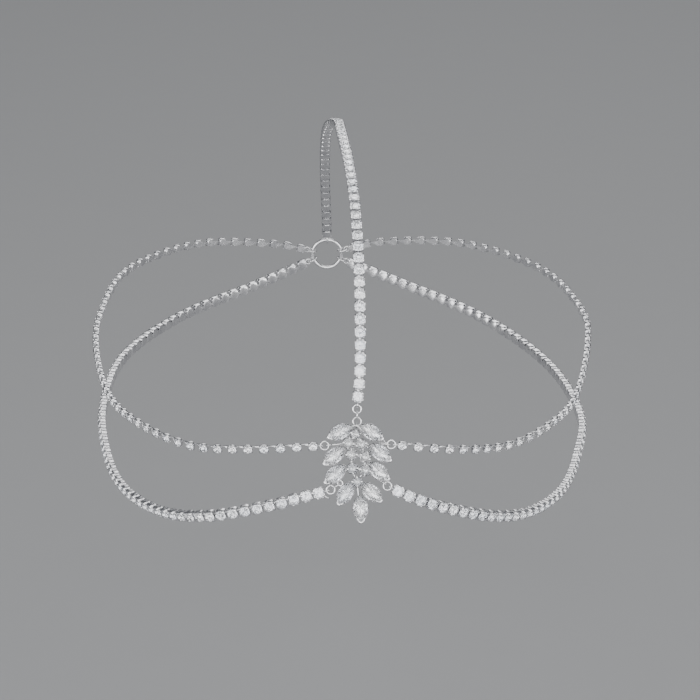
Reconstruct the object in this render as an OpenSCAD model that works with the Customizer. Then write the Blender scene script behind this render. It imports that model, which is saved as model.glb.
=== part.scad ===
// A head chain diadem: a spray of leaf-shaped and round cut stones on the forehead, one strand of stones
// over the crown and two strands round each side, which all meet at a ring behind the head.
// Every place on the piece is given from the middle of the spray: across to the viewer's right, back and up.
// The spray itself is laid out on its own plane, which leans back on the forehead: across, along, level.
// Left and right are as seen from the front, and the origin is under the crown strand, where it sits.

/* [Fit on the head] */
// Distance from the spray back to the crown seat
crown_back = 90; // [85:1:95]
// Height of the crown seat above the spray
crown_up = 74.5; // [74.4:0.1:74.6]
// Distance from the spray back to the middle of the head
head_mid = 93; // [88:1:98]
// Height above the spray of the point that the crown strand faces away from
head_centre_up = 10; // [0:1:20]
// Lean of the spray back from upright, in degrees
spray_lean = 21; // [18:0.5:24]

/* [Close-set strands] */
// Distance between neighbouring stones
close_pitch = 3.85; // [3.8:0.01:3.95]
// Width of a cup across its flats at the rim
cup_w = 3.35; // [3.25:0.05:3.4]
// Width of a cup across its flats at the base
cup_base_w = 3.1; // [3:0.05:3.15]
// How far each corner of a cup is cut back along its two sides
cup_corner = 0.45; // [0.35:0.05:0.6]
// Depth of a cup below the stone's girdle
cup_depth = 1.85; // [1.7:0.05:1.9]
// Height of a stone's table above its girdle
crown_h = 0.7; // [0.6:0.05:0.8]
// Width of a stone's table across its flats
table_w = 1.9; // [1.6:0.05:2.2]
// Width of the tongue that joins a cup to the next one
tongue_w = 1; // [0.9:0.05:1.3]
// Thickness of that tongue
tongue_h = 0.35; // [0.3:0.05:0.45]
// Clear space between a tongue and the next cup
tongue_gap = 0.45; // [0.42:0.01:0.6]

/* [Spaced strands] */
// Diameter of the round strand that the spaced cups fill
spaced_d = 2.8; // [2.6:0.1:2.9]
// Length of strand between two sections of it
spaced_step = 7.2; // [7:0.1:8]

/* [Leaf stones] */
// Length of a leaf stone
leaf_l = 7.8; // [7.6:0.1:8]
// Width of a leaf stone
leaf_w = 4.2; // [4:0.05:4.25]
// Height of a leaf stone's table above its girdle
leaf_crown = 0.9; // [0.7:0.05:1.1]
// Size of the table as a share of the whole stone
table_share = 0.5; // [0.4:0.05:0.6]

/* [Round stones] */
// Diameter of a main round stone
round_d = 3.1; // [3:0.05:3.15]
// Diameter of the small round stone at the top
top_round_d = 2.5; // [2.4:0.05:2.6]
// Diameter of the small round stone at the foot
foot_round_d = 2.8; // [2.7:0.05:2.9]
// Height of a round stone's table above its girdle
round_crown = 0.55; // [0.4:0.05:0.7]
// Level of the raised round stones above the leaf stones
round_level = 1.75; // [1.7:0.05:2]

/* [Settings] */
// Clear space between a stone and its cup
stone_gap = 0.07; // [0.06:0.01:0.08]
// Thickness of a cup's wall
cup_wall = 0.18; // [0.16:0.01:0.2]
// Width of the ribs behind the stones
rib_w = 0.9; // [0.8:0.05:1.1]
// Thickness of the ribs behind the stones
rib_h = 0.75; // [0.7:0.05:0.8]

/* [Rings] */
// Radius of a jump ring, to the middle of its wire
ring_r = 1.22; // [1.2:0.01:1.24]
// Radius of a jump ring's wire
ring_wire = 0.25; // [0.22:0.01:0.27]
// Radius of the loops on the spray and the strands, to the middle of the wire
loop_r = 0.85; // [0.82:0.01:0.9]
// Radius of the loops' wire
loop_wire = 0.22; // [0.2:0.01:0.24]
// Radius of the ring behind the head, to the middle of its wire
back_r = 5; // [4.5:0.1:6]
// Radius of that ring's wire
back_wire = 0.6; // [0.5:0.05:0.65]

/* [Hidden] */

silver = [0.80, 0.81, 0.83];
crystal = [0.90, 0.94, 0.97];
round_fn = 48;

// Strands from front to back. Columns: across, back, up, lean of the stones upward in degrees
CROWN_ROWS = [
    [1, 11.5, 29, 0],
    [1.5, 23, 49, 0],
    [1.5, 39.5, 64.5, 0],
    [1, 61, 73, 0],
    [0, 90, 76.5, 0],
    [-0.5, 112, 74.5, 0],
    [-2.5, 134, 65.5, 0],
    [-2, 160, 45, 0],
    [-0.5, 180, 21, 0]
];
UPPER_LEFT_ROWS = [
    [-32.5, 6, 5, 0],
    [-50, 15.5, 3, 0],
    [-65, 33.5, 3.5, 0],
    [-74, 57.5, 4, 0],
    [-78, 90.5, 7, 0],
    [-76.5, 116, 10.5, 0],
    [-68, 147, 14, 0],
    [-45, 174, 13.5, 0],
    [-20, 185.5, 9.5, 0]
];
UPPER_RIGHT_ROWS = [
    [29, 7.5, 3, 0],
    [47, 21.5, -1.5, 0],
    [61.5, 38, -1, 0],
    [71.5, 61.5, -1, 0],
    [79, 95, 3, 0],
    [80, 119, 6.5, 0],
    [70, 148, 11, 0],
    [46, 174, 12, 0],
    [20, 185.5, 9.5, 0]
];
LOWER_LEFT_ROWS = [
    [-17, -1, -8.1, 0],
    [-27, 0, -11.2, -8],
    [-44.5, 5.5, -16.3, -14],
    [-58.7, 20, -20.7, -22],
    [-70, 43, -22.5, -15],
    [-75.6, 67, -20.7, -3],
    [-77.3, 97, -16.4, 0],
    [-71, 133, -12, 0],
    [-52, 164, -9, 0],
    [-25, 182, -4, 0]
];
LOWER_RIGHT_ROWS = [
    [15.5, -0.6, -8.8, 10],
    [26.1, 2, -13.8, -4],
    [41.4, 11, -20.7, -15],
    [54.3, 24.5, -25.2, -22],
    [66.2, 45.5, -27.1, -15],
    [74, 70.5, -25.8, -3],
    [78.2, 96.5, -21.4, 0],
    [71.5, 133, -17, 0],
    [52, 164, -11, 0],
    [25, 182, -4, 0]
];

// Leaf stones from the top down, left then right. Columns: across, along, turn of the outer tip in degrees,
// radius of the metal that wraps that tip, number of the round stone that the rib behind the leaf runs to
LEAVES = [
    [-5.3, 11.3, 205, 0.75, 1],
    [3.85, 11, -31.5, 0.75, 1],
    [-7.2, 4.35, 219, 0.75, 2],
    [6.3, 4.95, -37.5, 0.75, 3],
    [-7.05, -1.1, 220, 0.75, 6],
    [5.7, -0.5, -38.5, 0.75, 7],
    [-4.1, -6.75, 237, 0.75, 8],
    [3.5, -6.65, -44.5, 0.75, 8],
    [0.2, -11.3, 272, 1, 8]
];
// Round stones from the top down. Columns: across, along, level of the girdle, diameter
ROUNDS = [
    [-1, 10.55, round_level - 0.5, top_round_d],
    [-3, 7.95, round_level, round_d],
    [0.8, 7.5, round_level, round_d],
    [-2.2, 4.6, round_level, round_d],
    [1.85, 3.8, round_level, round_d],
    [-1.95, 0.45, round_level, round_d],
    [1.8, -0.1, round_level, round_d],
    [-0.7, -3.4, round_level - 0.5, foot_round_d]
];
// Ribs between the round stones, behind them. Columns: number of one stone, number of the other
ROUND_RIBS = [
    [1, 2],
    [1, 3],
    [2, 3],
    [2, 4],
    [3, 5],
    [4, 5],
    [4, 6],
    [5, 7],
    [6, 7],
    [6, 8],
    [7, 8]
];

// Jump rings at the spray, seen face on. Columns: across, along, level
SPRAY_RING = [-0.2, 14.25, -1.95];
TOP_RING = [-0.1, 17.95, -1.95];
UPPER_LEFT_RING = [-9.95, 7.35, -1.3];
UPPER_RIGHT_RING = [9.75, 7.3, -1.3];
LOWER_LEFT_RING = [-8.45, -5.65, -0.6];
LOWER_RIGHT_RING = [8.35, -4.9, -1.3];
// The soldered loop that the lower left link hangs on, also seen face on
LOWER_LEFT_LOOP = [-5.6, -3.8, -0.6];
// Where the wires of the other soldered loops end under the stones. Columns: across, along
SPRAY_RING_FOOT = [-0.5, 12];
UPPER_LEFT_FOOT = [-3, 7.95];
UPPER_RIGHT_FOOT = [0.8, 7.5];
LOWER_RIGHT_FOOT = [5.9, -2.9];

// The ring behind the head and the turn of each jump ring round it
BACK_RING = [0, 187, 5];
back_turn_top = 90;
back_turn_upper = 14;
back_turn_lower = -22;
back_link_r = 1.6;
back_link_out = 0.5;

cup_top = 0.12;
cup_floor = -0.9;
cup_bottom = -1.2;
girdle_h = 0.2;
pavilion = 0.8;
eye_r = 0.75;
wire_level = -1.3;
link_r = 1.28;
link_wire = 0.2;
tip_inset = 0.35;
tip_top = 0.45;
tip_bottom = -0.6;
stem_r = 0.45;
cup_shoulder = -0.25;
cup_taper = 0.4;
pocket_taper = 0.6;
stone_sides = 10;
leaf_sides = 6;
spaced_sides = 8;
curve_steps = 10;
table_turn = 22.5;
look = 0.5;
up = [0, 0, 1];
sunk = 0.1;
loop_sunk = 0.35;
wire_fn = 24;
arc_fn = 96;

// Distance from a jump ring's middle to the first cup's middle at the front and at the back
function lead(r, w) = r + loop_r + loop_wire + w / 2 - loop_sunk;

function unit(v) = v / norm(v);
function turned(l, a) = [l * cos(a), l * sin(a)];

// A place on the spray's plane, as a place on the piece
function on_spray(p) = [
    p.x,
    p.y * sin(spray_lean) - p.z * cos(spray_lean),
    p.y * cos(spray_lean) + p.z * sin(spray_lean)
];
function back_link_at(turn) = BACK_RING + (back_r + back_link_out) * [cos(turn), 0, sin(turn)];

// A smooth curve through the rows of a strand's table
function between(a, b, c, d, t) =
    (2 * b + (c - a) * t + (2 * a - 5 * b + 4 * c - d) * t * t + (3 * b - a - 3 * c + d) * t * t * t) / 2;
function ended(rows) = concat(
    [2 * rows[0] - rows[1]],
    rows,
    [2 * rows[len(rows) - 1] - rows[len(rows) - 2]]
);
function curve(rows) =
    let (r = ended(rows))
    concat(
        [
            for (i = [1:len(r) - 3])
                for (k = [0:curve_steps - 1])
                    between(r[i - 1], r[i], r[i + 1], r[i + 2], k / curve_steps)
        ],
        [rows[len(rows) - 1]]
    );
function place(p) = [p[0], p[1], p[2]];
function flat(p) = [p[0], p[1]];
function gap_before(c, i) = i < len(c) ? norm(place(c[i]) - place(c[i - 1])) : 0;
function lengths(c) = [
    for (i = 1, s = 0; i <= len(c); s = s + gap_before(c, i), i = i + 1) s
];
// The curve with the length run so far in front of each of its rows
function measured(c) =
    let (s = lengths(c))
    [for (i = [0:len(c) - 1]) [s[i], each c[i]]];
function column(m, k) = [for (row = m) [row[0], row[k]]];
function whole(m) = m[len(m) - 1][0];
function point_at(m, s) = [lookup(s, column(m, 1)), lookup(s, column(m, 2)), lookup(s, column(m, 3))];
function outward(p, lean, over) =
    over
        ? unit(p - [0, head_mid, head_centre_up])
        : unit([p.x, p.y - head_mid, 0]) * cos(lean) + up * sin(lean);
// A frame at one length of a strand: place, along, across and outward
function frame_at(m, s, over) =
    let (
        p = point_at(m, s),
        t = unit(point_at(m, s + look) - point_at(m, s - look)),
        o = outward(p, lookup(s, column(m, 4)), over),
        n = unit(o - t * (o * t))
    )
    [p, t, cross(n, t), n];
function framed(f, q) = f[0] + f[1] * q.x + f[2] * q.y + f[3] * q.z;

function strand_rows(front, rows, back) = concat(
    [concat(front, [spray_lean])],
    rows,
    [concat(back, [0])]
);
function strand_curve(front, rows, turn) =
    measured(curve(strand_rows(on_spray(front), rows, back_link_at(turn))));

CROWN = strand_curve(TOP_RING, CROWN_ROWS, back_turn_top);
UPPER_LEFT = strand_curve(UPPER_LEFT_RING, UPPER_LEFT_ROWS, 180 - back_turn_upper);
UPPER_RIGHT = strand_curve(UPPER_RIGHT_RING, UPPER_RIGHT_ROWS, back_turn_upper);
LOWER_LEFT = strand_curve(LOWER_LEFT_RING, LOWER_LEFT_ROWS, 180 - back_turn_lower);
LOWER_RIGHT = strand_curve(LOWER_RIGHT_RING, LOWER_RIGHT_ROWS, back_turn_lower);

// The corners of a square of width w, each cut back by the same amount along both sides
function cut_square(w, cut, level) =
    let (h = w / 2, c = h - cut)
    [
        [h, c, level],
        [c, h, level],
        [-c, h, level],
        [-h, c, level],
        [-h, -c, level],
        [-c, -h, level],
        [c, -h, level],
        [h, -c, level]
    ];
// One cup with its stone and tongue: base, rim and table, and the tongue's four corners at each end
function cup_points(tongue_end) =
    let (
        half = tongue_w / 2,
        foot = cup_base_w / 2,
        shoulder = foot + (cup_w - cup_base_w) / 2 * tongue_h / cup_depth,
        top = tongue_h - cup_depth
    )
    concat(
        cut_square(cup_base_w, cup_corner, -cup_depth),
        cut_square(cup_w, cup_corner, 0),
        cut_square(table_w, table_w / 2 * (1 - tan(table_turn)), crown_h),
        [
            [foot, -half, -cup_depth],
            [foot, half, -cup_depth],
            [shoulder, half, top],
            [shoulder, -half, top],
            [tongue_end, -half, -cup_depth],
            [tongue_end, half, -cup_depth],
            [tongue_end, half, top],
            [tongue_end, -half, top]
        ]
    );
CUP_FACES = concat(
    [
        [3, 4, 5, 6, 7, 24, 25, 0, 1, 2],
        [15, 27, 24, 7],
        [15, 8, 26, 27],
        [8, 0, 25, 26],
        [24, 28, 29, 25],
        [25, 29, 30, 26],
        [26, 30, 31, 27],
        [27, 31, 28, 24],
        [28, 31, 30, 29],
        [23, 22, 21, 20, 19, 18, 17, 16]
    ],
    [for (k = [0:6]) [8 + k, 9 + k, k + 1, k]],
    [for (k = [0:7]) [16 + k, 16 + (k + 1) % 8, 8 + (k + 1) % 8, 8 + k]]
);
cup_corners = 32;

function close_count(m) =
    1 + round((whole(m) - lead(ring_r, cup_w) - lead(back_link_r, cup_w)) / close_pitch);
function close_step(m) =
    (whole(m) - lead(ring_r, cup_w) - lead(back_link_r, cup_w)) / (close_count(m) - 1);

module placed() {
    translate([0, -crown_back, -crown_up])
        children();
}

module on_spray_plane() {
    placed()
        rotate([90 - spray_lean, 0, 0])
            children();
}

module torus(r, wire) {
    rotate_extrude($fn = round_fn)
        translate([r, 0])
            circle(wire, $fn = wire_fn);
}

// A ring whose plane holds the strand and either its outward side or its width
module strand_loop(m, s, over, flat) {
    f = frame_at(m, s, over);
    axis = flat ? f[3] : f[2];
    side = cross(axis, f[1]);
    multmatrix([
        [f[1].x, side.x, axis.x, f[0].x],
        [f[1].y, side.y, axis.y, f[0].y],
        [f[1].z, side.z, axis.z, f[0].z]
    ])
        torus(loop_r, loop_wire);
}

module strand_loops(m, over) {
    strand_loop(m, ring_r, over, false);
    strand_loop(m, whole(m) - back_link_r, over, true);
}

module close_strand(m, over) {
    first = lead(ring_r, cup_w);
    count = close_count(m);
    step = close_step(m);
    points = cup_points(step - cup_base_w / 2 - tongue_gap);
    color(silver)
        placed()
            union() {
                polyhedron(
                    points = [
                        for (i = [0:count - 1])
                            let (f = frame_at(m, first + step * i, over))
                            for (q = points)
                                framed(f, q)
                    ],
                    faces = [
                        for (i = [0:count - 1])
                            for (face = CUP_FACES)
                                [for (k = face) k + cup_corners * i]
                    ]
                );
                strand_loops(m, over);
            }
}

// The spaced cups' strand as one round bar of its outer size, in sections
module spaced_strand(m) {
    first = lead(ring_r, spaced_d) - spaced_d / 2;
    last = whole(m) - lead(back_link_r, spaced_d) + spaced_d / 2;
    count = 1 + round((last - first) / spaced_step);
    color(silver)
        placed()
            union() {
                polyhedron(
                    points = [
                        for (i = [0:count - 1])
                            let (f = frame_at(m, first + (last - first) * i / (count - 1), false))
                            for (k = [0:spaced_sides - 1])
                                framed(f, [0, each turned(spaced_d / 2, 360 * k / spaced_sides)])
                    ],
                    faces = concat(
                        [[for (k = [spaced_sides - 1:-1:0]) k]],
                        [
                            for (i = [0:count - 2])
                                for (k = [0:spaced_sides - 1])
                                    let (a = spaced_sides * i, b = (k + 1) % spaced_sides)
                                    for (face = [[a + k, a + b, a + spaced_sides + k],
                                                 [a + b, a + spaced_sides + b, a + spaced_sides + k]])
                                        face
                        ],
                        [[for (k = [0:spaced_sides - 1]) spaced_sides * (count - 1) + k]]
                    )
                );
                strand_loops(m, false);
            }
}

// The pointed oval of a leaf stone, as corners and as a true outline
function leaf_arc_r(l, w) = (l * l + w * w) / (4 * w);
function leaf_corners(l, w) =
    let (
        r = leaf_arc_r(l, w),
        half = asin(l / 2 / r)
    )
    [
        for (side = [1, -1])
            for (k = [0:leaf_sides - 1])
                let (a = half * (1 - 2 * k / leaf_sides))
                [side * r * sin(a), side * (r * cos(a) - r + w / 2)]
    ];

module leaf_outline(l, w) {
    r = leaf_arc_r(l, w);
    intersection() {
        translate([0, w / 2 - r])
            circle(r, $fn = arc_fn);
        translate([0, r - w / 2])
            circle(r, $fn = arc_fn);
    }
}

// A cut stone on any outline: table, crown facets, girdle and facets down to one point
module gem(corners, crown) {
    n = len(corners);
    polyhedron(
        points = concat(
            [for (p = corners) [p.x, p.y, -girdle_h / 2]],
            [for (p = corners) [p.x, p.y, girdle_h / 2]],
            [for (p = corners) [p.x * table_share, p.y * table_share, crown]],
            [[0, 0, -pavilion]]
        ),
        faces = concat(
            [for (k = [0:n - 1]) [3 * n, k, (k + 1) % n]],
            [
                for (k = [0:n - 1])
                    for (a = [0, n])
                        [a + n + k, a + n + (k + 1) % n, a + (k + 1) % n, a + k]
            ],
            [[for (k = [n - 1:-1:0]) 2 * n + k]]
        )
    );
}

module leaf_stone(i) {
    color(crystal)
        on_spray_plane()
            translate([LEAVES[i][0], LEAVES[i][1], 0])
                rotate([0, 0, LEAVES[i][2]])
                    gem(leaf_corners(leaf_l, leaf_w), leaf_crown);
}

module round_stone(i) {
    r = ROUNDS[i][3] / 2;
    color(crystal)
        on_spray_plane()
            translate(place(ROUNDS[i]))
                gem([for (k = [0:stone_sides - 1]) turned(r, 360 * k / stone_sides)], round_crown);
}

module leaf_cup(tip_r) {
    pocket = 2 * stone_gap;
    wall = pocket + 2 * cup_wall;
    difference() {
        union() {
            translate([0, 0, cup_bottom])
                linear_extrude(cup_top - cup_bottom)
                    leaf_outline(leaf_l + wall, leaf_w + wall);
            translate([leaf_l / 2 - tip_inset, 0, tip_bottom])
                cylinder(h = tip_top - tip_bottom, r = tip_r, $fn = round_fn);
        }
        translate([0, 0, cup_floor])
            linear_extrude(tip_top - cup_floor + sunk)
                leaf_outline(leaf_l + pocket, leaf_w + pocket);
    }
}

module round_cup(level, stone_d) {
    r = stone_d / 2 + stone_gap;
    rotate_extrude($fn = round_fn)
        polygon([
            [0, cup_bottom],
            [r - cup_taper, cup_bottom],
            [r + cup_wall, cup_shoulder],
            [r + cup_wall, cup_top],
            [r, cup_top],
            [r, cup_shoulder],
            [r - pocket_taper, cup_floor],
            [0, cup_floor]
        ]);
    translate([0, 0, wire_level - level])
        cylinder(h = cup_bottom + sunk - wire_level + level, r = stem_r, $fn = round_fn);
}

// A straight rib between two places behind the stones
module rib(a, b) {
    d = b - a;
    translate(a)
        rotate([0, 0, atan2(d.y, d.x)])
            translate([-rib_w / 2, -rib_w / 2])
                square([norm(d) + rib_w, rib_w]);
}

// The ribs run from leaf to round stone and from round stone to round stone, hidden behind them
module ribs() {
    translate([0, 0, cup_bottom - rib_h + sunk])
        linear_extrude(rib_h)
            union() {
                rib(flat(ROUNDS[0]), SPRAY_RING_FOOT);
                for (leaf = LEAVES)
                    rib(flat(leaf), flat(ROUNDS[leaf[4] - 1]));
                for (pair = ROUND_RIBS)
                    rib(flat(ROUNDS[pair[0] - 1]), flat(ROUNDS[pair[1] - 1]));
            }
}

// A loop seen edge on, hooked in a jump ring, with a wire that runs to its foot under the stones
module wired_loop(ring, foot, r) {
    d = foot - [ring.x, ring.y];
    translate(ring)
        rotate([0, 0, atan2(d.y, d.x)]) {
            translate([ring_r, 0, 0])
                rotate([90, 0, 0])
                    torus(r, loop_wire);
            translate([ring_r + r, 0, 0])
                rotate([0, 90, 0])
                    cylinder(h = norm(d) - ring_r - r, r = loop_wire, $fn = wire_fn);
        }
}

module spray_setting() {
    color(silver)
        on_spray_plane()
            union() {
                for (leaf = LEAVES)
                    translate([leaf[0], leaf[1], 0])
                        rotate([0, 0, leaf[2]])
                            leaf_cup(leaf[3]);
                for (stone = ROUNDS)
                    translate(place(stone))
                        round_cup(stone.z, stone[3]);
                ribs();
                wired_loop(SPRAY_RING, SPRAY_RING_FOOT, eye_r);
                wired_loop(UPPER_LEFT_RING, UPPER_LEFT_FOOT, loop_r);
                wired_loop(UPPER_RIGHT_RING, UPPER_RIGHT_FOOT, loop_r);
                wired_loop(LOWER_RIGHT_RING, LOWER_RIGHT_FOOT, loop_r);
                translate(LOWER_LEFT_LOOP)
                    torus(eye_r, loop_wire);
            }
}

// A jump ring on the spray's plane
module face_ring(p) {
    color(silver)
        on_spray_plane()
            translate(p)
                torus(ring_r, ring_wire);
}

// A thin link seen edge on, halfway between the wires of two rings
module edge_link(a, a_r, b, b_r) {
    d = b - a;
    middle = a + unit(d) * (a_r + norm(d) - b_r) / 2;
    color(silver)
        on_spray_plane()
            translate(middle)
                rotate([0, 0, atan2(d.y, d.x)])
                    rotate([90, 0, 0])
                        torus(link_r, link_wire);
}

module back_ring() {
    color(silver)
        placed()
            translate(BACK_RING)
                rotate([90, 0, 0])
                    torus(back_r, back_wire);
}

module back_link(turn) {
    color(silver)
        placed()
            translate(back_link_at(turn))
                rotate([0, -turn, 0])
                    torus(back_link_r, ring_wire);
}

spray_setting();
leaf_stone(0);  // leaf_stone_1
leaf_stone(1);  // leaf_stone_2
leaf_stone(2);  // leaf_stone_3
leaf_stone(3);  // leaf_stone_4
leaf_stone(4);  // leaf_stone_5
leaf_stone(5);  // leaf_stone_6
leaf_stone(6);  // leaf_stone_7
leaf_stone(7);  // leaf_stone_8
leaf_stone(8);  // leaf_stone_9
round_stone(0);  // round_stone_1
round_stone(1);  // round_stone_2
round_stone(2);  // round_stone_3
round_stone(3);  // round_stone_4
round_stone(4);  // round_stone_5
round_stone(5);  // round_stone_6
round_stone(6);  // round_stone_7
round_stone(7);  // round_stone_8
face_ring(TOP_RING);  // top_ring
edge_link(SPRAY_RING, ring_r, TOP_RING, ring_r);  // top_link
face_ring(SPRAY_RING);  // spray_ring
face_ring(UPPER_LEFT_RING);  // upper_left_ring
face_ring(UPPER_RIGHT_RING);  // upper_right_ring
face_ring(LOWER_LEFT_RING);  // lower_left_ring
edge_link(LOWER_LEFT_LOOP, eye_r, LOWER_LEFT_RING, ring_r);  // lower_left_link
face_ring(LOWER_RIGHT_RING);  // lower_right_ring
close_strand(CROWN, true);  // crown_strand
spaced_strand(UPPER_LEFT);  // upper_left_strand
spaced_strand(UPPER_RIGHT);  // upper_right_strand
close_strand(LOWER_LEFT, false);  // lower_left_strand
close_strand(LOWER_RIGHT, false);  // lower_right_strand
back_ring();
back_link(back_turn_top);  // back_ring_top
back_link(180 - back_turn_upper);  // back_ring_upper_left
back_link(back_turn_upper);  // back_ring_upper_right
back_link(180 - back_turn_lower);  // back_ring_lower_left
back_link(back_turn_lower);  // back_ring_lower_right
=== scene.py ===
"""Head chain diadem: cut stones in silver-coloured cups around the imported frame.

Sizes are in millimetres and places are from the middle of the spray, across to the viewer's right,
back and up, until a mesh is made. The spray's own plane leans back: across, along, level.
"""
import math

import bmesh
import bpy
import numpy as np
from mathutils import Matrix, Vector


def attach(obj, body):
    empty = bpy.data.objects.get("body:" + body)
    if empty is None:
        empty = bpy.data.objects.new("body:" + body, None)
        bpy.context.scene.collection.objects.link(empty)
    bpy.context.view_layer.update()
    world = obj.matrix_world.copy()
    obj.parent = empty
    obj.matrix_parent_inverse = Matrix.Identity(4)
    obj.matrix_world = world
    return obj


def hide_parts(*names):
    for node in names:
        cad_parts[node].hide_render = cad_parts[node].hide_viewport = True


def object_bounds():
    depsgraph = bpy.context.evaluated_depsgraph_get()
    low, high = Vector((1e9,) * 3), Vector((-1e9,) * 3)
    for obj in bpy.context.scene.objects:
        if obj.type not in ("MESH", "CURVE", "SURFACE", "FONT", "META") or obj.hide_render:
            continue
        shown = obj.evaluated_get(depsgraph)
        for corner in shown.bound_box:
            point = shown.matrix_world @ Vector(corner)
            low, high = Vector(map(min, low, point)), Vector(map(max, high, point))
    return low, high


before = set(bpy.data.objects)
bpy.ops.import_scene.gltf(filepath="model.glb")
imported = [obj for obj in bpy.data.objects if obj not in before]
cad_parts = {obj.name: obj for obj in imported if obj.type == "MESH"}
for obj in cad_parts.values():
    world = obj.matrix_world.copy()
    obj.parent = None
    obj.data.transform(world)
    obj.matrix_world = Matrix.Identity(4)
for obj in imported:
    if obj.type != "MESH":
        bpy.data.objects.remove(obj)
cad_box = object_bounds()

# Frame, the same values as the source
MM = 0.001
ORIGIN = np.array([0.0, 90.0, 74.5])
HEAD_MID = 93.0
HEAD_CENTRE_UP = 10.0
SPRAY_LEAN = 21.0
RING_R = 1.22
LOOP_R, LOOP_WIRE = 0.85, 0.22
LOOP_SUNK = 0.35
BACK_RING = np.array([0.0, 187.0, 5.0])
BACK_R = 5.0
BACK_LINK_R = 1.6
BACK_LINK_OUT = 0.5
# Where the strands meet the back ring, in degrees from the viewer's right towards the top
BACK_TOP, BACK_UPPER, BACK_LOWER = 90.0, 14.0, -22.0
CURVE_STEPS = 10
# How far to each side of a place the curve's direction is taken
LOOK = 0.5
CLOSE_PITCH, CLOSE_W = 3.85, 3.35
SPACED_PITCH, SPACED_W = 4.85, 2.9

# Strands from front to back: across, back, up, lean of the stones upward in degrees
CROWN_ROWS = [
    (1, 11.5, 29, 0), (1.5, 23, 49, 0), (1.5, 39.5, 64.5, 0), (1, 61, 73, 0), (0, 90, 76.5, 0),
    (-0.5, 112, 74.5, 0), (-2.5, 134, 65.5, 0), (-2, 160, 45, 0), (-0.5, 180, 21, 0),
]
UPPER_LEFT_ROWS = [
    (-32.5, 6, 5, 0), (-50, 15.5, 3, 0), (-65, 33.5, 3.5, 0), (-74, 57.5, 4, 0), (-78, 90.5, 7, 0),
    (-76.5, 116, 10.5, 0), (-68, 147, 14, 0), (-45, 174, 13.5, 0), (-20, 185.5, 9.5, 0),
]
UPPER_RIGHT_ROWS = [
    (29, 7.5, 3, 0), (47, 21.5, -1.5, 0), (61.5, 38, -1, 0), (71.5, 61.5, -1, 0), (79, 95, 3, 0),
    (80, 119, 6.5, 0), (70, 148, 11, 0), (46, 174, 12, 0), (20, 185.5, 9.5, 0),
]
LOWER_LEFT_ROWS = [
    (-17, -1, -8.1, 0), (-27, 0, -11.2, -8), (-44.5, 5.5, -16.3, -14), (-58.7, 20, -20.7, -22),
    (-70, 43, -22.5, -15), (-75.6, 67, -20.7, -3), (-77.3, 97, -16.4, 0), (-71, 133, -12, 0),
    (-52, 164, -9, 0), (-25, 182, -4, 0),
]
LOWER_RIGHT_ROWS = [
    (15.5, -0.6, -8.8, 10), (26.1, 2, -13.8, -4), (41.4, 11, -20.7, -15), (54.3, 24.5, -25.2, -22),
    (66.2, 45.5, -27.1, -15), (74, 70.5, -25.8, -3), (78.2, 96.5, -21.4, 0), (71.5, 133, -17, 0),
    (52, 164, -11, 0), (25, 182, -4, 0),
]

# Leaf stones: across, along, turn of the outer tip, radius of the claw on it, round stone its rib meets
LEAVES = [
    (-5.3, 11.3, 205, 0.78, 1), (3.85, 11, -31.5, 0.78, 1), (-7.2, 4.35, 219, 0.78, 2),
    (6.3, 4.95, -37.5, 0.78, 3), (-7.05, -1.1, 220, 0.78, 6), (5.7, -0.5, -38.5, 0.78, 7),
    (-4.1, -6.75, 237, 0.78, 8), (3.5, -6.65, -44.5, 0.78, 8), (0.2, -11.3, 272, 1.0, 8),
]
LEAF_L, LEAF_W, LEAF_CROWN, LEAF_PAVILION = 7.8, 4.2, 0.9, 0.8
LEAF_TABLE, LEAF_BULGE, LEAF_SIDE_CORNERS = 0.52, 0.06, 14
TIP_INSET = 0.35
STONE_GAP, CUP_WALL = 0.07, 0.18
# Round stones: across, along, level, diameter, turn of the four prongs
ROUND_LEVEL = 1.75
ROUNDS = [
    (-1, 10.55, ROUND_LEVEL - 0.5, 2.5, 20), (-3, 7.95, ROUND_LEVEL, 3.1, 35),
    (0.8, 7.5, ROUND_LEVEL, 3.1, 60), (-2.2, 4.6, ROUND_LEVEL, 3.1, 45), (1.85, 3.8, ROUND_LEVEL, 3.1, 15),
    (-1.95, 0.45, ROUND_LEVEL, 3.1, 50), (1.8, -0.1, ROUND_LEVEL, 3.1, 30),
    (-0.7, -3.4, ROUND_LEVEL - 0.5, 2.8, 45),
]
ROUND_CROWN, ROUND_PAVILION = 0.55, 0.8
ROUND_TABLE, ROUND_BULGE, ROUND_CORNERS = 0.55, 0.04, 20
SPRAY_GIRDLE = 0.2
# Ribs behind the round stones, from one to another
ROUND_RIBS = [(1, 2), (1, 3), (2, 3), (2, 4), (3, 5), (4, 5), (4, 6), (5, 7), (6, 7), (6, 8), (7, 8)]

SPRAY_RING = (-0.2, 14.25, -1.95)
TOP_RING = (-0.1, 17.95, -1.95)
UPPER_LEFT_RING = (-9.95, 7.35, -1.3)
UPPER_RIGHT_RING = (9.75, 7.3, -1.3)
LOWER_LEFT_RING = (-8.45, -5.65, -0.6)
LOWER_RIGHT_RING = (8.35, -4.9, -1.3)
LOWER_LEFT_LOOP = (-5.6, -3.8, -0.6)
EYE_R = 0.75
SPRAY_RING_FOOT = (-0.5, 12.0)
# Loops seen edge on: the ring they hang in, where their wire ends, their radius
WIRED_LOOPS = [
    (SPRAY_RING, SPRAY_RING_FOOT, EYE_R), (UPPER_LEFT_RING, (-3, 7.95), LOOP_R),
    (UPPER_RIGHT_RING, (0.8, 7.5), LOOP_R), (LOWER_RIGHT_RING, (5.9, -2.9), LOOP_R),
]
RIB_LEVEL, RIB_R, RIB_SIDES = -1.45, 0.36, 12
# Stems under the round cups: their top from the cup's own level, their foot from the spray's plane
STEM_TOP, STEM_FOOT, STEM_R, STEM_SIDES = -1.15, -1.3, 0.45, 16

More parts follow.
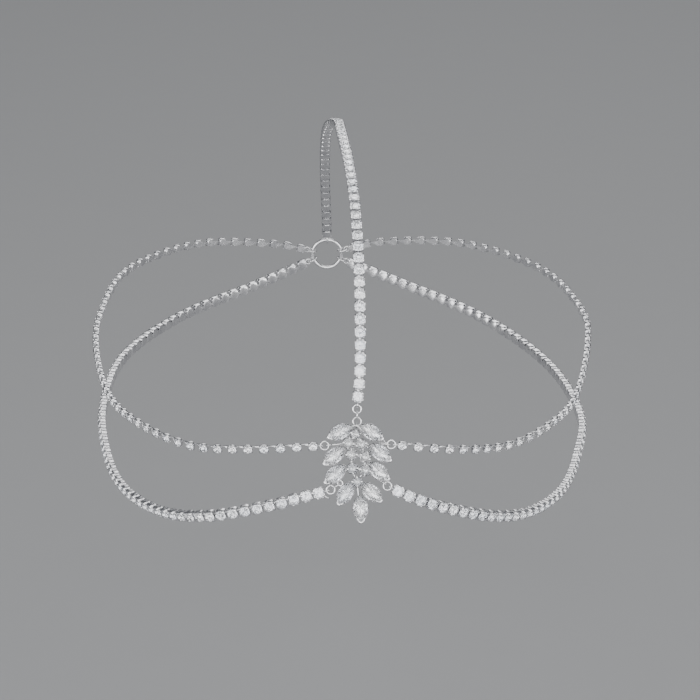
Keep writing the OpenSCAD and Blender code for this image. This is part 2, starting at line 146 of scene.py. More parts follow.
# Strand cups: half width of rim and of base, depth, dip between the corners, radius of hole, squareness
CLOSE_CUP = (1.67, 1.54, 1.85, 0.12, 1.6, 6.5)
SPACED_CUP = (1.42, 1.24, 1.25, 0.16, 1.33, 3.2)
# Claws on a cup's corners: reach from the middle, width, thickness, radius of the stone they bend over
CLOSE_CLAWS = (1.9, 0.7, 0.2, 1.6)
SPACED_CLAWS = (1.52, 0.66, 0.17, 1.33)
# Strand stones: radius, corners, table as a share of the width, crown, girdle, pavilion
CLOSE_STONE = (1.58, 24, 0.5, 0.68, 0.14, 1.42)
SPACED_STONE = (1.31, 20, 0.52, 0.66, 0.14, 1.1)
# How far the spaced cups and their stones stand out from the strand's curve
SPACED_OUT = 0.5
# Tongues from a cup to the next: share of the way, half width, height, lift to the upper side
CLOSE_TONGUE = [(0.0, 0.42, 0.2, 0.0), (0.4, 0.42, 0.2, 0.0), (1.0, 0.34, 0.16, 0.0)]
SPACED_TONGUE = [
    (0.0, 0.66, 0.55, 0.0), (0.16, 0.66, 0.55, 0.0), (0.36, 0.44, 0.42, 0.2),
    (0.56, 0.2, 0.22, 0.36), (0.7, 0.14, 0.14, 0.36), (1.0, 0.14, 0.14, 0.1),
]
CLOSE_TONGUE_LEVEL, SPACED_TONGUE_LEVEL = -1.68, -0.64
# Where a tongue starts in one cup and ends in the next, as shares of the half width of their bases
TONGUE_START, TONGUE_END = 0.8, 0.6
# How far a tongue's flat back lies under its dome
TONGUE_BACK = 0.1
# The spaced cups face downward by FRONT_LEAN degrees, and level out from LEVEL_FROM along, over LEVEL_OVER
FRONT_LEAN, LEVEL_FROM, LEVEL_OVER = -16.0, 70.0, 60.0

# Thin wires of the spray: radius, then places on its plane
SPRAY_WIRES = [
    (0.2, [
        (-2.4, 12.2, 1.3), (-1.9, 12.9, 2.2), (-0.9, 13.1, 2.7), (0.1, 12.6, 2.8), (0.75, 11.6, 2.6),
        (0.9, 10.7, 1.9),
    ]),
    (0.17, [(8.55, 7.45, -1.2), (8.0, 8.0, -1.0), (7.3, 8.8, -0.9), (6.6, 9.4, -1.0)]),
    (0.15, [(8.5, 7.38, -1.25), (7.8, 7.62, -0.95), (7.0, 7.8, -0.85), (6.2, 7.9, -1.0)]),
]
# The claw that stands off the first cup of the lower left strand, along, across and out from that cup
BENT_CLAW_R = 0.2
BENT_CLAW = [(-1.5, 1.5, 0.1), (-1.95, 1.8, 0.3), (-2.25, 2.1, 0.25), (-2.4, 2.5, 0.0)]

# Corners round a cup and a ring, and sides and steps of a wire
CUP_CORNERS, ROUND_CUP_CORNERS = 24, 32
RING_CORNERS, WIRE_SIDES, WIRE_STEPS = 32, 10, 8
# Edges that bend by more than this, in degrees, stay sharp
SHARP_ANGLE = 40.0
# Share of the way from a stone's table to its edge where its star facets end
STAR_REACH = 0.48
# Share of a stone's width where its lower facets meet
DEEP_REACH = 0.36
# How far those corners stand out from a plain cone on a strand's stone
STRAND_BULGE = 0.05

# Material slots: a metal piece has one, a stone has its glass and then its foils
METAL, STONE, FOIL, SOFT_FOIL = 0, 0, 1, 2

# Between these lie most values of the noise
NOISE_LOW, NOISE_HIGH = 0.3, 0.7

# Camera: a little to the viewer's left of the front
ELEVATION, AZIMUTH = math.radians(20.0), math.radians(-3.25)
# Its distance, and how far it is moved to the left and up from looking at the spray's middle
DISTANCE, LEFT_BY, UP_BY = 1000.0, 2.65, 35.3
SENSOR, FOCAL_PX, PHOTO_PX = 36.0, 3400.0, 700.0
# How far it sees, in metres
FAR = 20.0

# Floor and boxes of light, in metres
FLOOR_SIZE, FLOOR_DROP = 12.0, 0.09
FLOOR_COLOUR = (0.3, 0.303, 0.31, 1.0)
# Name, azimuth, elevation, distance, width, height, radiance
LIGHTS = [
    ("front", -3.0, 19.0, 1.9, 1.5, 0.8, 4.2),
    ("left", -58.0, 16.0, 1.7, 1.2, 1.2, 4.0),
    ("right", 54.0, 16.0, 1.7, 1.2, 1.2, 3.6),
    ("low", -3.0, -2.0, 1.7, 2.0, 0.36, 3.6),
    ("top", -3.0, 66.0, 1.5, 1.8, 0.9, 2.2),
    ("back", 170.0, 32.0, 1.7, 1.4, 0.7, 2.5),
]
STUDIO_COLOUR, STUDIO_STRENGTH = (0.82, 0.85, 0.9, 1.0), 0.18


def unit(v):
    return v / np.linalg.norm(v)


def on_spray(p):
    """A place on the spray's plane, as a place on the piece."""
    a = math.radians(SPRAY_LEAN)
    x, y, z = p
    return np.array([x, y * math.sin(a) - z * math.cos(a), y * math.cos(a) + z * math.sin(a)])


def spray_matrix():
    """Rotation from the spray's plane to the piece, as rows of unit vectors."""
    return np.array([on_spray(e) for e in np.eye(3)])


def back_link_at(turn):
    a = math.radians(turn)
    return BACK_RING + (BACK_R + BACK_LINK_OUT) * np.array([math.cos(a), 0.0, math.sin(a)])


def between(a, b, c, d, t):
    """A smooth curve's place from b to c at share t, with a and d the rows before and after them."""
    return (2 * b + (c - a) * t + (2 * a - 5 * b + 4 * c - d) * t * t + (3 * b - a - 3 * c + d) * t**3) / 2


def smooth_path(rows, steps):
    """A smooth curve through every row, in steps from each to the next."""
    rows = np.array(rows, float)
    ended = np.vstack([2 * rows[0] - rows[1], rows, 2 * rows[-1] - rows[-2]])
    curve = [
        between(*ended[i - 1:i + 3], k / steps)
        for i in range(1, len(ended) - 2)
        for k in range(steps)
    ]
    return np.vstack([curve, rows[-1]])


class Strand:
    """A strand's curve by length run from its front ring, with the frame of a cup at any length."""

    def __init__(self, front, rows, turn, over):
        """From a ring of the spray to a turn round the back ring; over is true for the crown strand."""
        rows = [[*on_spray(front), SPRAY_LEAN], *rows, [*back_link_at(turn), 0.0]]
        self.rows = smooth_path(rows, CURVE_STEPS)
        steps = np.linalg.norm(np.diff(self.rows[:, :3], axis=0), axis=1)
        self.run = np.concatenate([[0.0], np.cumsum(steps)])
        self.whole = self.run[-1]
        self.over = over

    def at(self, s):
        return np.array([np.interp(s, self.run, self.rows[:, k]) for k in range(3)])

    def frame(self, s, lean=None):
        """Place, and the directions along, across and outward."""
        p = self.at(s)
        t = unit(self.at(s + LOOK) - self.at(s - LOOK))
        if self.over:
            out = unit(p - np.array([0.0, HEAD_MID, HEAD_CENTRE_UP]))
        else:
            a = math.radians(np.interp(s, self.run, self.rows[:, 3]) if lean is None else lean)
            flat = unit(np.array([p[0], p[1] - HEAD_MID, 0.0]))
            out = flat * math.cos(a) + np.array([0.0, 0.0, math.sin(a)])
        n = unit(out - t * (out @ t))
        return p, np.array([t, np.cross(n, t), n])

    def places(self, width, pitch):
        """Lengths at which the middles of its cups lie."""
        first = RING_R + LOOP_R + LOOP_WIRE + width / 2 - LOOP_SUNK
        last = self.whole - (BACK_LINK_R + LOOP_R + LOOP_WIRE + width / 2 - LOOP_SUNK)
        return np.linspace(first, last, 1 + round((last - first) / pitch))


# Shapes: corners, faces, and each face's material slot and shading
def shape(verts, faces, mats, smooth):
    """A closed shape with its faces turned outward, its faces of one material slot or of a list of them."""
    bm = bmesh.new()
    made = [bm.verts.new(v) for v in verts]
    for face in faces:
        bm.faces.new([made[k] for k in face])
    bmesh.ops.recalc_face_normals(bm, faces=bm.faces)
    bm.verts.index_update()
    turned = [tuple(v.index for v in f.verts) for f in bm.faces]
    bm.free()
    mats = [mats] * len(turned) if isinstance(mats, int) else list(mats)
    return np.array(verts, float), turned, mats, [smooth] * len(turned)


def merged(*shapes):
    verts, faces, mats, smooth, base = [], [], [], [], 0
    for v, f, m, s in shapes:
        verts.append(v)
        faces += [tuple(k + base for k in face) for face in f]
        mats += m
        smooth += s
        base += len(v)
    return np.vstack(verts), faces, mats, smooth


def moved(part, place=(0.0, 0.0, 0.0), turn=0.0):
    """The shape turned about its own upright, in degrees, and moved."""
    a = math.radians(turn)
    spin = np.array([[math.cos(a), math.sin(a), 0], [-math.sin(a), math.cos(a), 0], [0, 0, 1]])
    return part[0] @ spin + np.array(place, float), part[1], part[2], part[3]


def framed(part, place, axes):
    """The shape with its own x, y and z along the three rows of axes."""
    return part[0] @ axes + place, part[1], part[2], part[3]


def lofted(rings, closed=False):
    """Smooth metal through rings of corners, its ends capped unless the last ring meets the first."""
    last, count = len(rings) - 1, len(rings[0])
    faces = [] if closed else [tuple(range(count - 1, -1, -1))]
    for i in range(len(rings) if closed else last):
        a, b = i * count, (i + 1) % len(rings) * count
        for k in range(count):
            m = (k + 1) % count
            faces.append((a + k, a + m, b + m, b + k))
    if not closed:
        faces.append(tuple(last * count + k for k in range(count)))
    return shape(np.vstack(rings), faces, METAL, True)


def around(count):
    """Angles of the corners of a full turn."""
    return 2 * math.pi * np.arange(count) / count


def squircle(half, power, level, dip):
    """A rounded square, lower by dip in the middle of its sides than at its corners."""
    a = 2 * math.pi * (np.arange(CUP_CORNERS) + 0.5) / CUP_CORNERS
    c, s = np.cos(a), np.sin(a)
    r = half / (np.abs(c)**power + np.abs(s)**power)**(1 / power)
    return np.stack([r * c, r * s, level - dip * np.cos(2 * a)**2], axis=1)


def cup(half, base, depth, dip, hole, square):
    """A stamped cup: walls that open upward round a round hole, its rim lower between the corners."""
    # Half width, squareness, level and dip of each ring, from the underside over the rim to the inner floor
    rows = [
        (base * 0.92, square * 0.7, -depth, 0.0),
        (base, square * 0.77, -depth + 0.12, 0.0),
        (base + (half - base) * 0.55, square * 0.92, -depth * 0.5, 0.0),
        (half, square, -0.1, dip),
        (half - 0.04, square, -0.02, dip),
        ((half + hole) / 2, 1 + square * 0.37, 0.0, dip * 0.85),
        (hole, 2.0, -0.06, dip * 0.6),
        (base * 0.96, 2.2, -depth * 0.9, 0.0),
    ]
    return lofted([squircle(*row) for row in rows])


def path_tangents(path):
    tangents = np.gradient(path, axis=0)
    return tangents / np.linalg.norm(tangents, axis=1)[:, None]


def prong(rows, thick, turn):
    """A bent claw, domed on its outer side: rows of distance from the middle, level and width."""
    path = np.array([row[:2] for row in rows], float)
    # Across as a share of the width, outward as a share of the thickness
    section = [(-0.5, 0.0), (0.5, 0.0), (0.42, 0.75), (0.0, 1.0), (-0.42, 0.75)]
    rings = [
        [(r + t[1] * h * thick, w * across, z - t[0] * h * thick) for across, h in section]
        for (r, z, w), t in zip(rows, path_tangents(path))
    ]
    return moved(lofted(rings), turn=turn)


def torus(r):
    """A ring of loop wire round its own z."""
    rings = []
    for i in range(RING_CORNERS):
        a = 2 * math.pi * i / RING_CORNERS
        b = around(WIRE_SIDES)
        d = r + LOOP_WIRE * np.cos(b)
        rings.append(np.stack([d * math.cos(a), d * math.sin(a), LOOP_WIRE * np.sin(b)], axis=1))
    return lofted(rings, closed=True)


def tube(path, radius, sides=WIRE_SIDES):
    """A round wire along a path, its ends closed."""
    path = np.array(path, float)
    tangents = path_tangents(path)
    # Any direction that no wire starts in gives the first side
    aside = [0.3, 0.5, 0.8]
    side = unit(np.cross(tangents[0], aside))
    b = around(sides)
    rings = []
    for p, t in zip(path, tangents):
        side = unit(side - t * (side @ t))
        rings.append(p + radius * (np.outer(np.cos(b), side) + np.outer(np.sin(b), np.cross(t, side))))
    return lofted(rings)


def cut_stone(outline, table, crown, girdle, pavilion, bulge=STRAND_BULGE, second=FOIL):
    """A brilliant cut on any outline, its lower facets backed with foil, half of them with a second one."""
    outline = np.array(outline, float)
    n = len(outline)
    half = n // 2
    even, odd = outline[0::2], outline[1::2]
    star = table + (1 - table) * STAR_REACH

    def level(points, z):
        return np.column_stack([points, np.full(len(points), z)])

    low = -girdle / 2
    high = girdle / 2
    star_z = high + (crown - high) * (1 - star) / (1 - table) + bulge
    deep_z = low - (pavilion + low) * (1 - DEEP_REACH) - bulge
    verts = np.vstack([
        level(even * table, crown),
        level(odd * star, star_z),
        level(outline, high),
        level(outline, low),
        level(odd * DEEP_REACH, deep_z),
        [[0.0, 0.0, -pavilion]],
    ])
    t0, s0, g0, l0, d0, culet = 0, half, 2 * half, 2 * half + n, 2 * half + 2 * n, 3 * half + 2 * n
    faces, mats = [tuple(range(half))], [STONE]
    for k in range(half):
        m = (k + 1) % half
        crown_faces = [
            (t0 + k, s0 + k, t0 + m),
            (t0 + k, g0 + 2 * k, s0 + k),
            (s0 + k, g0 + 2 * k, g0 + 2 * k + 1),
            (s0 + k, g0 + 2 * k + 1, g0 + 2 * m),
            (s0 + k, g0 + 2 * m, t0 + m),
        ]
        lower_faces = [
            (d0 + k, l0 + 2 * k + 1, l0 + 2 * k),
            (d0 + k, l0 + 2 * m, l0 + 2 * k + 1),
            (d0 + k, l0 + 2 * k, culet),
            (d0 + k, culet, l0 + 2 * m),
        ]
        faces += crown_faces + lower_faces
        mats += [STONE] * len(crown_faces) + [FOIL, second, second, FOIL]
    for k in range(n):
        m = (k + 1) % n
        faces.append((g0 + k, l0 + k, l0 + m, g0 + m))
        mats.append(STONE)
    return shape(verts, faces, mats, False)


def round_outline(r, count):
    a = around(count)
    return np.stack([r * np.cos(a), r * np.sin(a)], axis=1)


def leaf_outline(grow):
    """A pointed oval between two arcs, longer and wider than the leaf stone by grow."""
    length, width = LEAF_L + grow, LEAF_W + grow
    r = (length**2 + width**2) / (4 * width)
    half = math.asin(length / 2 / r)
    points = []
    for side in (1, -1):
        for k in range(LEAF_SIDE_CORNERS):
            a = half * (1 - 2 * k / LEAF_SIDE_CORNERS)
            points.append((side * r * math.sin(a), side * (r * math.cos(a) - r + width / 2)))
    return points


def make(name, parts, materials, replaces=()):
    """One joined piece from many shapes, in metres in the frame, on the only body."""
    verts, faces, mats, smooth = merged(*parts)
    mesh = bpy.data.meshes.new(name)
    mesh.from_pydata(((verts - ORIGIN) * MM).tolist(), [], faces)
    mesh.polygons.foreach_set("material_index", mats)
    mesh.polygons.foreach_set("use_smooth", smooth)
    for material in materials:
        mesh.materials.append(material)
    mesh.validate()
    mesh.update()
    if any(smooth):
        mesh.set_sharp_from_angle(angle=math.radians(SHARP_ANGLE))
    piece = bpy.data.objects.new(name, mesh)
    bpy.context.scene.collection.objects.link(piece)
    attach(piece, "root")
    if replaces:
        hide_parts(*replaces)


# Materials
def new_material(name):
    material = bpy.data.materials.new(name)
    material.use_nodes = True
    return material, material.node_tree.nodes, material.node_tree.links


def surface_noise(nodes, links, scale, detail):
    place = nodes.new("ShaderNodeTexCoord")
    noise = nodes.new("ShaderNodeTexNoise")
    noise.inputs["Scale"].default_value = scale
    noise.inputs["Detail"].default_value = detail
    links.new(place.outputs["Object"], noise.inputs["Vector"])
    return noise.outputs["Fac"]


def vary_roughness(nodes, links, scale, detail, low, high):
    """Roughness that wanders over the surface between two values."""
    spread = nodes.new("ShaderNodeMapRange")
    spread.inputs["From Min"].default_value = NOISE_LOW
    spread.inputs["From Max"].default_value = NOISE_HIGH
    spread.inputs["To Min"].default_value = low
    spread.inputs["To Max"].default_value = high
    links.new(surface_noise(nodes, links, scale, detail), spread.inputs["Value"])
    links.new(spread.outputs["Result"], nodes["Principled BSDF"].inputs["Roughness"])


def vary_colour(nodes, links, scale, detail, stops):
    """Base colour that wanders over the surface between two stops, each a position and a colour."""
    ramp = nodes.new("ShaderNodeValToRGB")
    for element, (position, colour) in zip(ramp.color_ramp.elements, stops):
        element.position = position
        element.color = (*colour, 1.0)
    links.new(surface_noise(nodes, links, scale, detail), ramp.inputs["Fac"])
    links.new(ramp.outputs["Color"], nodes["Principled BSDF"].inputs["Base Color"])


def metal_material(name, bright, dull, rough_low, rough_high, metallic=1.0):
    """Plated metal: fine variation of shine, faint duller patches and hairline polish marks."""
    material, nodes, links = new_material(name)
    shader = nodes["Principled BSDF"]
    shader.inputs["Metallic"].default_value = metallic
    vary_roughness(nodes, links, scale=900.0, detail=4.0, low=rough_low, high=rough_high)
    vary_colour(nodes, links, scale=260.0, detail=3.0, stops=[(0.34, dull), (0.62, bright)])
    bump = nodes.new("ShaderNodeBump")
    bump.inputs["Strength"].default_value = 0.12
    bump.inputs["Distance"].default_value = 0.00004
    links.new(surface_noise(nodes, links, scale=2600.0, detail=5.0), bump.inputs["Height"])
    links.new(bump.outputs["Normal"], shader.inputs["Normal"])
    return material


def crystal_material():
    """Clear cut glass, with a trace of haze and of wear on its polish."""
    material, nodes, links = new_material("cut_glass")
    shader = nodes["Principled BSDF"]
    shader.inputs["Transmission Weight"].default_value = 0.95
    shader.inputs["IOR"].default_value = 1.58
    vary_roughness(nodes, links, scale=420.0, detail=3.0, low=0.0, high=0.035)
    stops = [(0.36, (0.93, 0.95, 0.98)), (0.64, (1.0, 1.0, 1.0))]
    vary_colour(nodes, links, scale=110.0, detail=2.0, stops=stops)
    return material


# Bright and dull colour, least and most roughness, and how far a foil acts as metal
silver = metal_material("silver_plate", (0.86, 0.86, 0.87), (0.70, 0.70, 0.71), 0.12, 0.26)
cup_metal = metal_material("cup_plate", (0.84, 0.84, 0.85), (0.66, 0.66, 0.68), 0.16, 0.30)
foil = metal_material("mirror_foil", (0.96, 0.96, 0.97), (0.86, 0.87, 0.89), 0.03, 0.12, 0.94)
soft_foil = metal_material("soft_foil", (0.98, 0.98, 0.99), (0.9, 0.91, 0.93), 0.06, 0.2, 0.5)
crystal = crystal_material()

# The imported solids, of which the jump rings, links and back ring stay in sight
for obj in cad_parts.values():
    obj.data.materials.clear()
    obj.data.materials.append(silver)


# Strands
def corner_prongs(reach, width, thick, stone_r):
    """Four claws that stand on the cup's corners and bend in over the stone."""
    rows = [
        (reach - 0.02, -0.55, width),
        (reach + 0.02, -0.05, width),
        (reach - 0.04, 0.14, width),
        (stone_r + 0.02, 0.29, width * 0.9),
        (stone_r - 0.2, 0.36, width * 0.72),
        (stone_r - 0.3, 0.34, width * 0.4),
    ]
    return [prong(rows, thick, turn) for turn in (45, 135, 225, 315)]


def strand_stone(r, corners, table, crown, girdle, pavilion):
    return cut_stone(round_outline(r, corners), table, crown, girdle, pavilion)


def spaced_out(part):
    return moved(part, (0.0, 0.0, SPACED_OUT))


def tongues(line, places, leans, base, level, rows):
    """The domed tabs from the back of each cup into the next, with base the half width of a cup's base."""
    dome = np.radians([0.0, 36.0, 72.0, 108.0, 144.0, 180.0])
    parts = []
    for i in range(len(places) - 1):
        p, axes = line.frame(places[i], leans[i])
        q, next_axes = line.frame(places[i + 1], leans[i + 1])
        start = p + axes[0] * base * TONGUE_START + axes[2] * level
        end = q - next_axes[0] * base * TONGUE_END + next_axes[2] * level
        along = unit(end - start)
        out = unit(axes[2] + next_axes[2])
        across = unit(np.cross(out, along))
        out = np.cross(along, across)
        length = np.linalg.norm(end - start)
        rings = []
        for share, half, high, lift in rows:
            c = start + along * length * share - out * TONGUE_BACK + across * math.copysign(lift, across[2])
            edge = c + out * TONGUE_BACK
            bow = [edge + across * half * math.cos(a) + out * high * math.sin(a) for a in dome]
            rings.append([c - across * half, c + across * half, *bow])
        parts.append(lofted(rings))
    return parts


def end_loops(line):
    """The rings soldered on a strand's two ends."""
    parts = []
    for s, flat in ((RING_R, False), (line.whole - BACK_LINK_R, True)):
        p, (t, across, out) = line.frame(s)
        axis = out if flat else across
        parts.append(framed(torus(LOOP_R), p, np.array([t, np.cross(axis, t), axis])))
    return parts


def cup_chain(name, line, unit_cup, unit_stone, places, leans, tongue):
    """A strand in two pieces, its metal and its stones, with tongue the last three values of tongues."""
    metal, stones = end_loops(line) + tongues(line, places, leans, *tongue), []
    for s, lean in zip(places, leans):
        p, axes = line.frame(s, lean)
        metal.append(framed(unit_cup, p, axes))
        stones.append(framed(unit_stone, p, axes))
    make(name + "_cups", metal, [cup_metal], [name + "_strand"])
    make(name + "_stones", stones, [crystal, foil])


def close_chain(name, line):
    """A close-set strand, which leans as its own rows say."""
    unit_cup = merged(cup(*CLOSE_CUP), *corner_prongs(*CLOSE_CLAWS))
    places = line.places(CLOSE_W, CLOSE_PITCH)
    tongue = (CLOSE_CUP[1], CLOSE_TONGUE_LEVEL, CLOSE_TONGUE)
    cup_chain(name, line, unit_cup, strand_stone(*CLOSE_STONE), places, [None] * len(places), tongue)


def spaced_chain(name, line):
    """A spaced strand, which faces downward at the front and levels out towards the sides."""
    unit_cup = spaced_out(merged(cup(*SPACED_CUP), *corner_prongs(*SPACED_CLAWS)))
    places = line.places(SPACED_W, SPACED_PITCH)
    leans = [FRONT_LEAN * (1 - min(max((s - LEVEL_FROM) / LEVEL_OVER, 0.0), 1.0)) for s in places]
    tongue = (SPACED_CUP[1], SPACED_TONGUE_LEVEL, SPACED_TONGUE)
    cup_chain(name, line, unit_cup, spaced_out(strand_stone(*SPACED_STONE)), places, leans, tongue)


lower_left_line = Strand(LOWER_LEFT_RING, LOWER_LEFT_ROWS, 180 - BACK_LOWER, False)
close_chain("crown", Strand(TOP_RING, CROWN_ROWS, BACK_TOP, True))
close_chain("lower_left", lower_left_line)
close_chain("lower_right", Strand(LOWER_RIGHT_RING, LOWER_RIGHT_ROWS, BACK_LOWER, False))
spaced_chain("upper_left", Strand(UPPER_LEFT_RING, UPPER_LEFT_ROWS, 180 - BACK_UPPER, False))
spaced_chain("upper_right", Strand(UPPER_RIGHT_RING, UPPER_RIGHT_ROWS, BACK_UPPER, False))


# Spray
def on_plane(parts):
    axes = spray_matrix()
    return [framed(part, np.zeros(3), axes) for part in parts]


def leaf_gems():
    outline = leaf_outline(0.0)
    stone = cut_stone(outline, LEAF_TABLE, LEAF_CROWN, SPRAY_GIRDLE, LEAF_PAVILION, LEAF_BULGE, SOFT_FOIL)
    return [moved(stone, (x, y, 0.0), turn) for x, y, turn, *_ in LEAVES]


def round_gem(stone_d):
    outline = round_outline(stone_d / 2, ROUND_CORNERS)
    return cut_stone(outline, ROUND_TABLE, ROUND_CROWN, SPRAY_GIRDLE, ROUND_PAVILION, ROUND_BULGE, SOFT_FOIL)


def round_gems():
    return [moved(round_gem(stone_d), (x, y, level), turn) for x, y, level, stone_d, turn in ROUNDS]


def leaf_setting():
    """A cup that follows the leaf's outline, with a rounded rim."""
    wide = 2 * (STONE_GAP + CUP_WALL)
    # Growth over the stone and level of each ring, from the underside over the rim to the inner floor
    profile = [
        (wide - 0.7, -1.2), (wide - 0.3, -1.12), (wide - 0.04, -0.7), (wide, -0.1), (wide - 0.05, 0.08),
        (wide - 0.18, 0.14), (wide - 0.3, 0.1), (2 * STONE_GAP, -0.02), (-0.3, -0.55), (-0.9, -0.9),
    ]
    return lofted([[(x, y, z) for x, y in leaf_outline(grow)] for grow, z in profile])


def tip_claw(r):
    """The claw of radius r that wraps a leaf's outer tip and folds over its edge."""
    centre = LEAF_L / 2 - TIP_INSET
    # Outward from the claw's radius, and level
    section = [
        (-0.1, -0.6), (0.0, -0.45), (0.03, 0.0), (0.0, 0.26), (-0.1, 0.42), (-0.28, 0.52), (-0.5, 0.55),
        (-0.66, 0.48), (-0.6, 0.36), (-0.3, 0.2),
    ]
    wrap, half_steps = math.radians(98.0), 8
    rings = []
    for j in range(-half_steps, half_steps + 1):
        q = j / half_steps
        a = wrap * q
        # How far along the leaf's side it is: it runs back, sinks and thins there
        side = max(abs(q) * 1.6 - 0.6, 0.0)
        back = side * 0.62
        lift = 1.0 - 0.72 * side**1.5
        thin = 1.0 - 0.45 * side
        c, s = math.cos(a), math.sin(a)
        slope = math.copysign(back * 0.5, q)
        rings.append([
            (centre - back + (r + o * thin) * c, (r + o * thin) * s + slope, z * lift if z > 0 else z)
            for o, z in section
        ])
    return lofted(rings)


def revolved(profile):
    """A cup round its own z: rows of radius, level and dip halfway between its four claws."""
    a = around(ROUND_CUP_CORNERS)
    return lofted([
        np.stack([r * np.cos(a), r * np.sin(a), z - dip * np.sin(2 * a + math.pi / 2)**2], axis=1)
        for r, z, dip in profile
    ])


def round_setting(level, stone_d):
    """A round stone's cup, its stem down to the ribs and its four claws."""
    r = stone_d / 2 + STONE_GAP
    body = revolved([
        (r - 0.45, -1.2, 0.0), (r - 0.34, -1.16, 0.0), (r + CUP_WALL, -0.3, 0.1), (r + CUP_WALL, 0.02, 0.22),
        (r + 0.09, 0.1, 0.22), (r, 0.02, 0.22), (r - 0.1, -0.3, 0.1), (r - 0.6, -0.9, 0.0),
    ])
    claw = [
        (r + 0.1, -0.7, 0.62), (r + 0.16, -0.05, 0.6), (r + 0.1, 0.16, 0.56), (r - 0.08, 0.3, 0.48),
        (r - 0.28, 0.36, 0.38), (r - 0.38, 0.33, 0.18),
    ]
    thick = 0.17
    foot = STEM_FOOT - level
    stem = tube([(0, 0, STEM_TOP), (0, 0, (foot + STEM_TOP) / 2), (0, 0, foot)], STEM_R, STEM_SIDES)
    return [body, stem] + [prong(claw, thick, 45 + 90 * k) for k in range(4)]


def rib(a, b):
    """A round rib behind the stones."""
    a, b = np.array([*a, RIB_LEVEL], float), np.array([*b, RIB_LEVEL], float)
    return tube([a + (b - a) * t for t in (0.0, 0.25, 0.5, 0.75, 1.0)], RIB_R, RIB_SIDES)


def wired_loop(ring, foot, r):
    """A loop seen edge on in a jump ring, with the wire that runs to its foot under the stones."""
    d = np.array(foot, float) - np.array(ring[:2])
    turn = math.degrees(math.atan2(d[1], d[0]))
    v, f, m, s = torus(r)
    loop = (np.stack([v[:, 0] + RING_R, -v[:, 2], v[:, 1]], axis=1), f, m, s)
    wire = tube([(RING_R + r, 0, 0), (RING_R + r + 1, 0, 0), (np.linalg.norm(d), 0, 0)], LOOP_WIRE)
    return [moved(loop, ring, turn), moved(wire, ring, turn)]


def spray_setting():
    """The soldered setting: leaf cups and claws, round cups, ribs and loops."""
    parts = []
    for x, y, turn, tip_r, met in LEAVES:
        parts += [moved(leaf_setting(), (x, y, 0.0), turn), moved(tip_claw(tip_r), (x, y, 0.0), turn)]
        parts.append(rib((x, y), ROUNDS[met - 1][:2]))
    for x, y, level, stone_d, turn in ROUNDS:
        parts += [moved(part, (x, y, level), turn) for part in round_setting(level, stone_d)]
    parts.append(rib(ROUNDS[0][:2], SPRAY_RING_FOOT))
    parts += [rib(ROUNDS[i - 1][:2], ROUNDS[j - 1][:2]) for i, j in ROUND_RIBS]
    for ring, foot, r in WIRED_LOOPS:
        parts += wired_loop(ring, foot, r)
    parts.append(moved(torus(EYE_R), LOWER_LEFT_LOOP))
    return parts


def fine_wires():
    """The spray's thin wires, and the bent claw on the lower left strand's first cup."""
    wires = on_plane([tube(smooth_path(path, WIRE_STEPS), radius) for radius, path in SPRAY_WIRES])
    first_cup = lower_left_line.frame(lower_left_line.places(CLOSE_W, CLOSE_PITCH)[0])
    return wires + [framed(tube(smooth_path(BENT_CLAW, WIRE_STEPS), BENT_CLAW_R), *first_cup)]


gem_materials = [crystal, foil, soft_foil]
leaf_nodes = [f"leaf_stone_{i + 1}" for i in range(len(LEAVES))]
round_nodes = [f"round_stone_{i + 1}" for i in range(len(ROUNDS))]
make("leaf_gems", on_plane(leaf_gems()), gem_materials, leaf_nodes)
make("round_gems", on_plane(round_gems()), gem_materials, round_nodes)
make("spray_metal", on_plane(spray_setting()), [silver], ["spray_setting"])
make("spray_wires", fine_wires(), [silver])

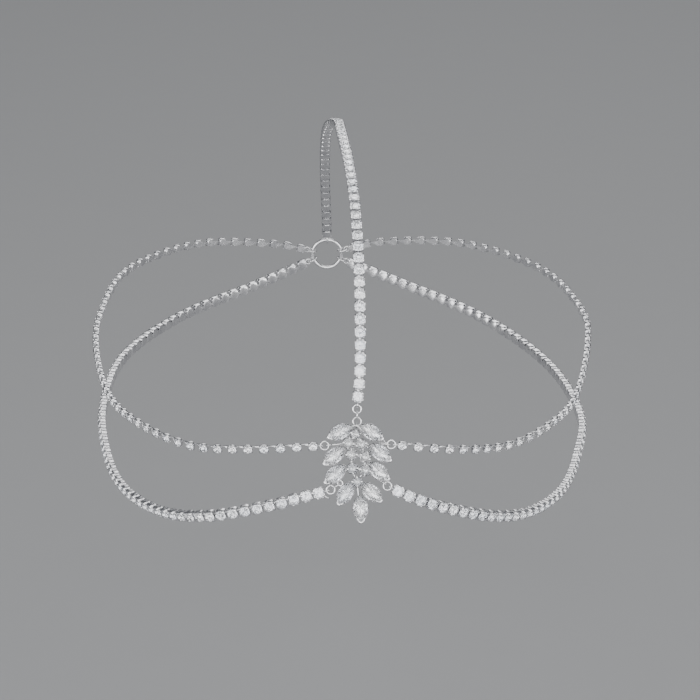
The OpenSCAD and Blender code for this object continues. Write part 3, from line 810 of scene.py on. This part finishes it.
# Camera
ahead = np.array([
    -math.sin(AZIMUTH) * math.cos(ELEVATION), math.cos(AZIMUTH) * math.cos(ELEVATION), -math.sin(ELEVATION),
])
up = np.array([
    -math.sin(AZIMUTH) * math.sin(ELEVATION), math.cos(AZIMUTH) * math.sin(ELEVATION), math.cos(ELEVATION),
])
right = np.array([math.cos(AZIMUTH), math.sin(AZIMUTH), 0.0])
camera = bpy.data.objects.new("camera", bpy.data.cameras.new("camera"))
camera.data.sensor_width = SENSOR
camera.data.lens = SENSOR * FOCAL_PX / PHOTO_PX
camera.data.clip_end = FAR
pose = Matrix([[right[k], up[k], -ahead[k]] for k in range(3)]).to_4x4()
pose.translation = Vector((-LEFT_BY * right + UP_BY * up - DISTANCE * ahead - ORIGIN) * MM)
camera.matrix_world = pose
bpy.context.scene.collection.objects.link(camera)
bpy.context.scene.camera = camera

# Floor
bpy.ops.mesh.primitive_plane_add(size=FLOOR_SIZE, location=(0.0, 0.0, cad_box[0].z - FLOOR_DROP))
floor = bpy.context.object
floor.name = "floor"
floor_paint, floor_nodes, floor_links = new_material("floor_paint")
vary_roughness(floor_nodes, floor_links, scale=40.0, detail=3.0, low=0.64, high=0.67)
floor_nodes["Principled BSDF"].inputs["Base Color"].default_value = FLOOR_COLOUR
floor.data.materials.append(floor_paint)


# Lights
def softbox(name, azimuth, elevation, distance, width, height, radiance):
    """A box of light seen from the piece at an azimuth, 0 in front and 90 at the viewer's right."""
    light = bpy.data.lights.new(name, "AREA")
    light.shape = "RECTANGLE"
    light.size, light.size_y = width, height
    light.energy = radiance * math.pi * width * height
    a, e = math.radians(azimuth), math.radians(elevation)
    toward = Vector((math.sin(a) * math.cos(e), -math.cos(a) * math.cos(e), math.sin(e)))
    lamp = bpy.data.objects.new(name, light)
    lamp.location = toward * distance
    lamp.rotation_euler = (-toward).to_track_quat("-Z", "Y").to_euler()
    bpy.context.scene.collection.objects.link(lamp)


for row in LIGHTS:
    softbox(*row)

world = bpy.data.worlds.new("studio")
world.use_nodes = True
background = world.node_tree.nodes["Background"]
background.inputs["Color"].default_value = STUDIO_COLOUR
background.inputs["Strength"].default_value = STUDIO_STRENGTH
bpy.context.scene.world = world
